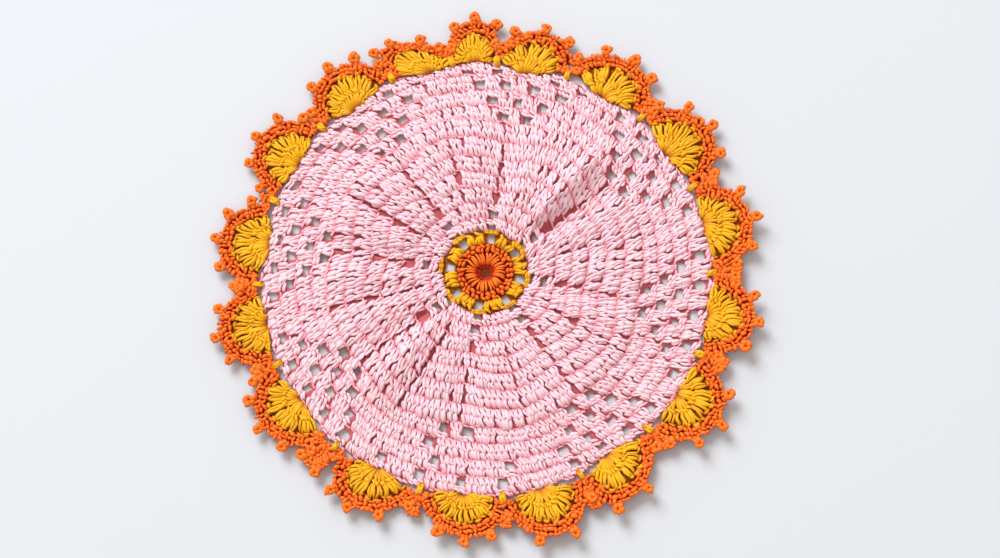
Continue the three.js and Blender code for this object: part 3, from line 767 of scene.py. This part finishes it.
for index, (line, *_) in enumerate(repeats):
    half = math.degrees(yellowSet["windowHalf"] / yellowSet["middle"])
    start = line + half
    end = repeats[(index + 1) % len(repeats)][0] + (360 if index == len(repeats) - 1 else 0) - half
    for place in range(yellowSet["group"]):
        angle = start + (place + 0.5) * (end - start) / yellowSet["group"]
        yellowPoints.add(yellowStitch, polar(yellowSet["foot"], angle), angle - 90 + stray(yellowSet["stitchTurn"]),
                         (1, chance.uniform(*yellowSet["stitchLengths"]), 1))
    for place in range(yellowSet["bars"]):
        angle = line + (place - (yellowSet["bars"] - 1) / 2) * half * yellowSet["barStep"]
        yellowPoints.add(yellowBar, polar(yellowSet["barRadii"][index], angle),
                         angle - 90 + stray(yellowSet["barTurn"]))
yellowPiece = workPiece("yellowRoundStitches", yellowPoints, yellowStrands, yellowYarn,
                        yellowSet["looseTurn"], yellowSet["looseSize"], seed=9)


def yellowCell(column, ring):
    angle = (column + 0.5) * 360 / yellowSet["groundColumns"]
    nearest = min(abs((angle - line + 180) % 360 - 180) for line, *_ in repeats)
    return ring != 1 or nearest > yellowSet["openTurn"]


# The ground under the yellow round is dark ochre, painted shade between the stitches. It is open at the windows, and
# its edges there show as rims of painted shade.
yellowGround = ringSheet("yellowGround", yellowShade, yellowSet["groundRadii"], yellowSet["groundColumns"],
                         yellowSet["groundHeights"], yellowCell)

# Shells: fans of long stitches from one foot, each a single strand below and a leaf of two above.
shell = {
    "petals": 13, "spread": 90, "length": 14.0, "clear": -0.6, "post": 0.82, "across": 0.72, "foot": 2.2,
    "petalTurn": 3, "petalEnds": (-0.6, 0.9), "petalHeights": (0, 0.5), "looseTurn": 2.5, "looseSize": 0.05,
    "footOut": 0.3,
    "anchor": 0.85, "anchorAcross": 0.7, "anchorOut": 0.4, "anchorHeight": 0.6,
    "groundTurns": range(-88, 89, 8), "groundShares": (0.15, 0.4, 0.7, 1.0), "groundOut": 0.6,
    "groundHeights": (0.3, 1.0),
}
leafEnds = {"ends": (0.6, 0.7), "spans": (0.3, 0.3)}
yellowPetal = addStrands(yellowStrands, (
    (shell["post"], [(0.0, 0.2, 1.2), (0.25, 2.5, 2.2), (0.35, 5.0, 2.6), (0.2, 7.4, 1.8)]),
    (shell["post"], [(0.1, 5.6, 1.6), (0.75, 7.8, 2.6), (0.95, 10.4, 2.7), (0.55, 12.8, 1.9), (0.1, 13.6, 1.3)]),
    (shell["post"], [(-0.2, 6.3, 1.5), (-0.8, 8.4, 2.5), (-0.95, 10.8, 2.6), (-0.5, 13.2, 1.8)]),
), **leafEnds) + addStrands(yellowStrands, (
    (shell["across"], [(-1.2, 5.4, 1.4), (-0.4, 6.2, 2.9), (0.5, 7.2, 3.0), (1.2, 8.0, 1.5)]),
    (shell["across"], [(-1.3, 2.0, 1.0), (-0.5, 2.9, 2.2), (0.3, 3.9, 2.3), (1.0, 4.8, 1.2)]),
    (shell["across"], [(-1.5, 12.6, 1.1), (-0.5, 13.5, 2.2), (0.6, 13.7, 2.2), (1.5, 13.2, 1.1)]),
), rings=5)
anchor = addStrands(yellowStrands, (
    (shell["anchor"], [(-0.3, -3.0, 1.2), (0.5, -1.3, 2.4), (0.8, 0.9, 2.9), (0.3, 3.0, 2.0)]),
    (shell["anchor"], [(-0.9, -2.4, 1.2), (-0.9, -0.7, 2.3), (-0.6, 1.2, 2.9), (-0.3, 2.8, 2.2)]),
    (shell["anchorAcross"], [(-1.4, -1.2, 1.2), (-0.4, -0.3, 3.2), (0.6, 0.5, 3.2), (1.4, 1.2, 1.3)]),
), rings=5)


# The half ellipse that a shell fills, from valley to valley, leaning to its crown.
def archOf(index):
    start, end, _, _, crown, apex, *_ = scallops[index]
    middle = (start + end) / 2
    reach = max(valleys[index][1], valleys[index - 1][1]) + shell["clear"]
    centre = polar(reach, middle)
    rise = polar(apex, crown) - centre
    height = np.linalg.norm(rise)
    return {"centre": centre, "upward": rise / height, "along": polar(1, middle + 90),
            "halfWidth": math.radians((end - start) / 2) * reach, "height": height}


# A place at an angle from the crown of an arch, and some way outside it.
def archPoint(arch, angle, offset=0.0):
    turn = math.radians(angle)
    return (arch["centre"] + arch["along"] * (arch["halfWidth"] + offset) * math.sin(turn)
            + arch["upward"] * (arch["height"] + offset) * math.cos(turn))


# The turn that points a stitch along a direction.
def turnOf(direction):
    return math.degrees(math.atan2(direction[1], direction[0])) - 90


shellPoints = Chart()
shellSheet = Sheet(*shell["groundHeights"])
for index, scallop in enumerate(scallops):
    arch = archOf(index)
    foot = polar(scallop[3] + shell["footOut"], scallop[2])
    for petal in range(shell["petals"]):
        angle = shell["spread"] * ((2 * petal + 1) / shell["petals"] - 1) + stray(shell["petalTurn"])
        tip = archPoint(arch, angle, chance.uniform(*shell["petalEnds"]))
        root = foot + arch["along"] * shell["foot"] * math.sin(math.radians(angle))
        reach = np.linalg.norm(tip - root)
        shellPoints.add(yellowPetal, root, turnOf(tip - root), (1, reach / shell["length"], 1),
                        height=chance.uniform(*shell["petalHeights"]))
    at, radius = valleys[index]
    shellPoints.add(anchor, polar(radius + shell["anchorOut"], at), at - 90, height=shell["anchorHeight"])
    shellSheet.add([[foot + (archPoint(arch, angle, shell["groundOut"]) - foot) * share
                     for share in shell["groundShares"]] for angle in shell["groundTurns"]], everyCell)
shellPiece = workPiece("shellStitches", shellPoints, yellowStrands, yellowYarn,
                       shell["looseTurn"], shell["looseSize"], seed=11)
# Under each shell lies a dark ochre sheet, painted shade between the petals.
shellGround = shellSheet.piece("shellGround", yellowShade)

# Orange edging: rows of beads that follow the scallops and dip to the anchors, and picots. A row has its distance
# outside the arches and outside the valleys.
edging = {
    "rows": ((1.3, 3.0), (3.4, 5.2), (5.5, 7.2)), "pitch": 2.25, "width": 6.0, "stroke": 0.95,
    "archTurns": range(-86, 87, 4), "valleySpare": 1.6,
    "stray": 0.35, "strokeTurn": 40, "strokeLengths": (0.85, 1.05), "strokeLift": 0.4, "reach": 0.8,
    "looseTurn": 4, "looseSize": 0.07,
    "groundTurns": range(-88, 89, 4), "groundOffsets": (0.2, 2.0, 3.8, 5.4), "groundSpare": 0.3,
    "groundHeights": (0.3, 1.0),
}
picot = {
    "loop": 1.6, "loopMiddle": 1.7, "yarn": 1.3, "turn": 30, "sizes": (0.9, 1.1), "lift": 0.4,
    "beads": (18, 90, 162, 234, 306), "beadArc": ((-40, 1.4), (-14, 2.5), (14, 2.6), (40, 1.5)),
    "neckSide": 1.1, "neckTurns": (5, 35), "rootTurn": 12,
    "low": 68, "tops": (-36, 0, 36), "pairedTops": (-22, 22), "out": 0.9, "pairedOut": 1.5,
}
stroke = addStrand(orangeStrands, [(-1.35, -0.3, 1.2), (-0.5, 0.0, 2.25), (0.5, 0.15, 2.35), (1.35, 0.5, 1.3)],
                   edging["stroke"], rings=5)
upStroke = addStrand(orangeStrands, [(-0.6, -1.2, 1.1), (-0.1, -0.4, 2.35), (0.25, 0.6, 2.35), (0.5, 1.4, 1.3)],
                     edging["stroke"], rings=5)
# A picot's first strand lies low in the middle of its loop, where the height ramp gives it the painted shade of the
# loop's hollow.
picotLoop = [addStrand(orangeStrands, [(-0.6, 1.6, 0.8), (0.0, 1.7, 1.1), (0.6, 1.8, 0.8)], edging["stroke"], rings=4)]
for middle in picot["beads"]:
    arc = [(*polar(picot["loop"], middle + away), z) for away, z in picot["beadArc"]]
    picotLoop.append(addStrand(orangeStrands, [(u, picot["loopMiddle"] + v, z) for u, v, z in arc],
                               picot["yarn"], rings=5))
# Which of the lowest picots each scallop has, on its right and on its left.
lowPicots = [(0, 1), (0, 1), (1, 1), (0, 1), (1, 1), (1, 0), (1, 1), (1, 1), (1, 1), (1, 1), (1, 1), (0, 1),
             (0, 1), (0, 1), (0, 1), (1, 1), (1, 1)]
pairedPicots = (13, 14)  # scallops with two picots on their tops, not three
valleyPicots = [(1.8, 121.5), (23.5, 121.5), (44, 115.5), (66.5, 111), (183.5, 121), (205.5, 123), (357.3, 121)]
# How far out the notch after each scallop is, and how the strokes that fill its valley start, step and spread.
notches = [123.5, 115, 109, 115, 116, 109, 112, 117, 119, 123, 127, 124, 125.5, 127, 124, 125.5, 125.5]
fill = {"start": 6.6, "step": 1.7, "side": 1.3, "splay": 0.06, "threeFrom": 1.5, "lift": 0.3}
edgingPoints = Chart()
edgingSheet = Sheet(*edging["groundHeights"])


def cross(a, b):
    return a[0] * b[1] - a[1] * b[0]


# Whether a place is between the two valleys of a scallop, by more than a spare width.
def between(index, point, spare):
    return (cross(polar(1, valleys[index][0]), point) < -spare
            and cross(polar(1, valleys[index - 1][0]), point) > spare)


def edgingPath(offset, dip):
    path = []
    for index in range(len(scallops)):
        places = [archPoint(archOf(index), angle, offset) for angle in edging["archTurns"]]
        path += [place for place in places if between(index, place, edging["valleySpare"])]
        at, radius = valleys[index]
        path.append(polar(radius + dip, at))
    return np.array(path + path[:1])


for row, (offset, dip) in enumerate(edging["rows"]):
    path = edgingPath(offset, dip)
    lengths = np.concatenate([[0], np.cumsum(np.linalg.norm(np.diff(path, axis=0), axis=1))])
    count = round(lengths[-1] / edging["pitch"])
    for place in range(count):
        at = (place + 0.5 * (row % 2)) * lengths[-1] / count
        here, behind, ahead = (np.array([np.interp((at + step) % lengths[-1], lengths, path[:, axis])
                                         for axis in (0, 1)]) for step in (0, -edging["reach"], edging["reach"]))
        outward = np.array([ahead[1] - behind[1], behind[0] - ahead[0]])
        here = here + np.array([stray(edging["stray"]), stray(edging["stray"])])
        edgingPoints.add((chance.choice((stroke, stroke, upStroke)),), here,
                         turnOf(outward) + stray(edging["strokeTurn"]),
                         (chance.uniform(*edging["strokeLengths"]), 1, 1), height=stray(edging["strokeLift"]))


def addPicot(root, turn):
    edgingPoints.add(picotLoop, root, turn + stray(picot["turn"]), (chance.uniform(*picot["sizes"]), 1, 1),
                     height=chance.uniform(0, picot["lift"]))
    for side in (-1, 1):
        edgingPoints.add((upStroke,), root + polar(side * picot["neckSide"], turn),
                         turn + side * chance.uniform(*picot["neckTurns"]), height=picot["lift"])


def addStroke(place, turn, looseTurn, height=0.0):
    kind = chance.choice((stroke, upStroke))
    edgingPoints.add((kind,), place, turn + stray(looseTurn), height=height)


for index, (right, left) in enumerate(lowPicots):
    arch = archOf(index)
    at, radius = valleys[index]
    filled = radius + fill["start"] + fill["step"] / 2
    while filled < notches[index]:
        spread = fill["side"] + fill["splay"] * (filled - radius - fill["start"])
        for side in (-1, 0, 1) if spread > fill["threeFrom"] else (-1, 1):
            edgingPoints.add((chance.choice((stroke, upStroke)),), polar(filled, at) + polar(side * spread, at + 90),
                             at - 90 + stray(edging["strokeTurn"]), height=stray(fill["lift"]))
        filled += fill["step"]
    isPaired = index in pairedPicots
    tops = [(angle, picot["pairedOut" if isPaired else "out"]) for angle in picot["pairedTops" if isPaired else "tops"]]
    for angle, out in [(-picot["low"], picot["out"])] * right + tops + [(picot["low"], picot["out"])] * left:
        outward = archPoint(arch, angle, 1) - archPoint(arch, angle, 0)
        addPicot(archPoint(arch, angle, edging["width"] + out), turnOf(outward) + stray(picot["rootTurn"]))
    columns = [[archPoint(arch, angle, offset) for offset in edging["groundOffsets"]]
               for angle in edging["groundTurns"]]
    edgingSheet.add(columns, lambda column, ring: all(
        between(index, columns[side][ring + 1], edging["groundSpare"]) for side in (column, column + 1)))
for at, radius in valleyPicots:
    addPicot(polar(radius, at), at - 90)

# One narrow scallop stands between two of the shells and has no shell of its own.
narrow = {
    "centre": polar(112.5, 228.4), "upward": polar(1, 228.2), "along": polar(1, 318.2),
    "halfWidth": 5.0, "height": 12.5, "turns": range(-90, 91, 18), "offsets": (0.2, 2.3), "strokeTurn": 30, "lift": 0.3,
    "aimOut": 9, "stem": 114.5, "stemStep": 2.1, "stemRows": 5, "stemAt": 228.4, "stemTurn": 138,
    "picots": (-40, 30), "picotOut": 3.2,
}


def narrowTurn(angle):
    return turnOf(archPoint(narrow, angle, narrow["aimOut"]) - narrow["centre"])


for angle in narrow["turns"]:
    for offset in narrow["offsets"]:
        addStroke(archPoint(narrow, angle, offset), narrowTurn(angle), narrow["strokeTurn"], narrow["lift"])
for step in range(narrow["stemRows"]):
    for side in (-1, 0, 1):
        place = polar(narrow["stem"] + narrow["stemStep"] * step, narrow["stemAt"] + side)
        addStroke(place, narrow["stemTurn"], edging["strokeTurn"])
for angle in narrow["picots"]:
    addPicot(archPoint(narrow, angle, narrow["picotOut"]), narrowTurn(angle))
edgingPiece = workPiece("picotEdgingStitches", edgingPoints, orangeStrands, orangeYarn,
                        edging["looseTurn"], edging["looseSize"], seed=13)
# Under the edging lies a dark red sheet, painted shade between the beads.
edgingGround = edgingSheet.piece("edgingGround", orangeShade)

# Every piece rides the one body.
pieces = {"pink_cotton": pinkPieces + [ground],
          "yellow_cotton": [yellowPiece, yellowGround, shellPiece, shellGround],
          "orange_cotton": [rosettePiece, rosetteGround, rosetteWell, edgingPiece, edgingGround]}
for slot, group in pieces.items():
    for piece in group:
        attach(piece, "root")
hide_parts("pink_body")
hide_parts("rosette")
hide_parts("yellow_round")
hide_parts("shell_round")
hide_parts("picot_edging")

# Tabletop, light and camera.
stage = {"size": 6, "color": (0.70, 0.725, 0.755), "roughness": 0.7}
lighting = {
    "around": 122, "above": 41, "away": 5.0, "size": 2.6, "power": 245, "air": 0.62,
    "cool": (0.95, 1.0, 1.06), "warm": (1.04, 0.96, 0.90),
}
view = {"target": (0.00553, -0.00295, 0.0), "around": -90, "elevation": 78, "distance": 1.1, "lens": 80.8,
        "sensor": 36, "clip": 0.01}
bpy.ops.mesh.primitive_plane_add(size=stage["size"])
floor = bpy.context.object
floor.name = "tabletop"
floor.data.materials.append(groundMaterial("paleTabletop", stage["color"], stage["roughness"]))


def direction(around, above):
    return Vector((math.cos(math.radians(above)) * math.cos(math.radians(around)),
                   math.cos(math.radians(above)) * math.sin(math.radians(around)), math.sin(math.radians(above))))


lamp = bpy.data.lights.new("windowLight", "AREA")
lamp.size = lighting["size"]
lamp.energy = lighting["power"]
lamp.color = lighting["cool"]
windowLight = bpy.data.objects.new("windowLight", lamp)
bpy.context.scene.collection.objects.link(windowLight)
toLamp = direction(lighting["around"], lighting["above"])
windowLight.location = toLamp * lighting["away"]
windowLight.rotation_euler = toLamp.to_track_quat("Z", "Y").to_euler()
world = bpy.data.worlds.new("studio")
bpy.context.scene.world = world
world.use_nodes = True
world.node_tree.nodes["Background"].inputs["Color"].default_value = (*lighting["warm"], 1)
world.node_tree.nodes["Background"].inputs["Strength"].default_value = lighting["air"]
bpy.context.scene.view_settings.view_transform = "Standard"

camera = bpy.data.objects.new("camera", bpy.data.cameras.new("camera"))
bpy.context.scene.collection.objects.link(camera)
back = direction(view["around"], view["elevation"])
camera.location = Vector(view["target"]) + back * view["distance"]
camera.rotation_euler = back.to_track_quat("Z", "Y").to_euler()
camera.data.lens = view["lens"]
camera.data.sensor_width = view["sensor"]
camera.data.clip_start = view["clip"]
bpy.context.scene.camera = camera

print("all pieces are in place")
